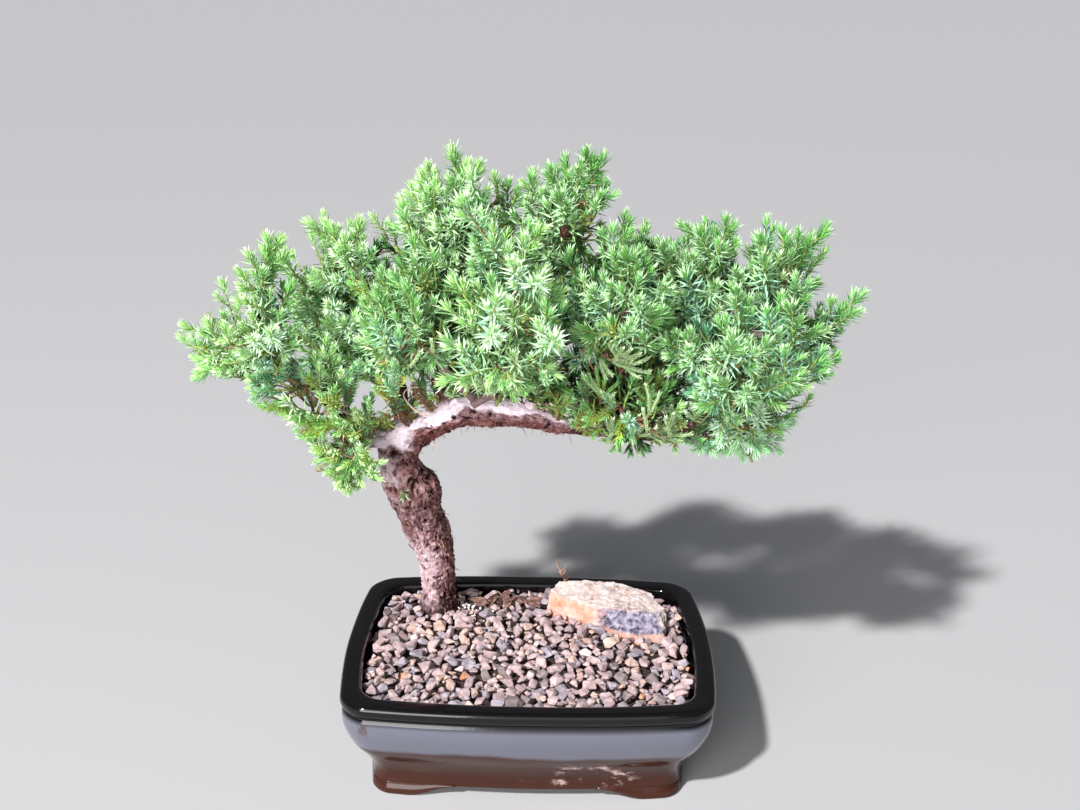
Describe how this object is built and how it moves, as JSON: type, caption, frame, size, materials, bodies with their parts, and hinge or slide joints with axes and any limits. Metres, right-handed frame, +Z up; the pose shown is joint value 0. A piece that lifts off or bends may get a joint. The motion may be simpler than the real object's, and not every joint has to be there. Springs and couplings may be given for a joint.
{
  "type": "juniper bonsai",
  "caption": "Potted juniper bonsai: shaggy leaning trunk, main limb arching right, spreading needle crown, gravel and accent stone in a black glazed rectangular pot.",
  "frame": {"origin": "on the surface the pot stands on, under the middle of the whole tree's box", "axes": "+Z up, +X along the pot's long side to the right as seen from the front, +Y away from the front"},
  "size_m": [0.3745, 0.2013, 0.3528],
  "materials": {
    "glaze": "gloss",
    "gravel": "rough",
    "accent_stone": "rough",
    "bark": "rough, flaking",
    "limb_bark": "rough",
    "needles_fresh": "satin",
    "needles_green": "satin",
    "needles_blue": "satin",
    "needles_olive": "satin"
  },
  "bodies": {
    "root": {"pot": "glaze", "foot_front_left": "glaze", "foot_front_right": "glaze", "foot_back_left": "glaze", "foot_back_right": "glaze", "gravel_bed": "gravel", "accent_stone": "accent_stone", "trunk": "bark", "limb_right": "limb_bark", "bough_left": "limb_bark", "bough_left_low": "limb_bark", "bough_inner_left": "limb_bark", "bough_back_left": "limb_bark", "bough_apex_left": "limb_bark", "bough_front": "limb_bark", "bough_back_mid": "limb_bark", "bough_apex_mid": "limb_bark", "bough_back_right": "limb_bark", "bough_right_top": "limb_bark", "bough_right_low": "limb_bark", "bough_right_front": "limb_bark", "mass_apex_left": "needles_green", "mass_apex_mid": "needles_green", "mass_back_far_right": "needles_green", "mass_back_left": "needles_green", "mass_back_mid": "needles_green", "mass_back_right": "needles_green", "mass_centre_low": "needles_olive", "mass_centre_right": "needles_green", "mass_far_left": "needles_fresh", "mass_far_right": "needles_blue", "mass_front_left": "needles_fresh", "mass_front_mid": "needles_fresh", "mass_inner_left": "needles_olive", "mass_left_front": "needles_fresh", "mass_left_low": "needles_fresh", "mass_left_mid": "needles_green", "mass_left_top": "needles_fresh", "mass_low_right_tufts": "needles_olive", "mass_right_front": "needles_blue", "mass_right_inner": "needles_green", "mass_right_low": "needles_blue", "mass_right_top": "needles_green"}
  },
  "joints": []
}
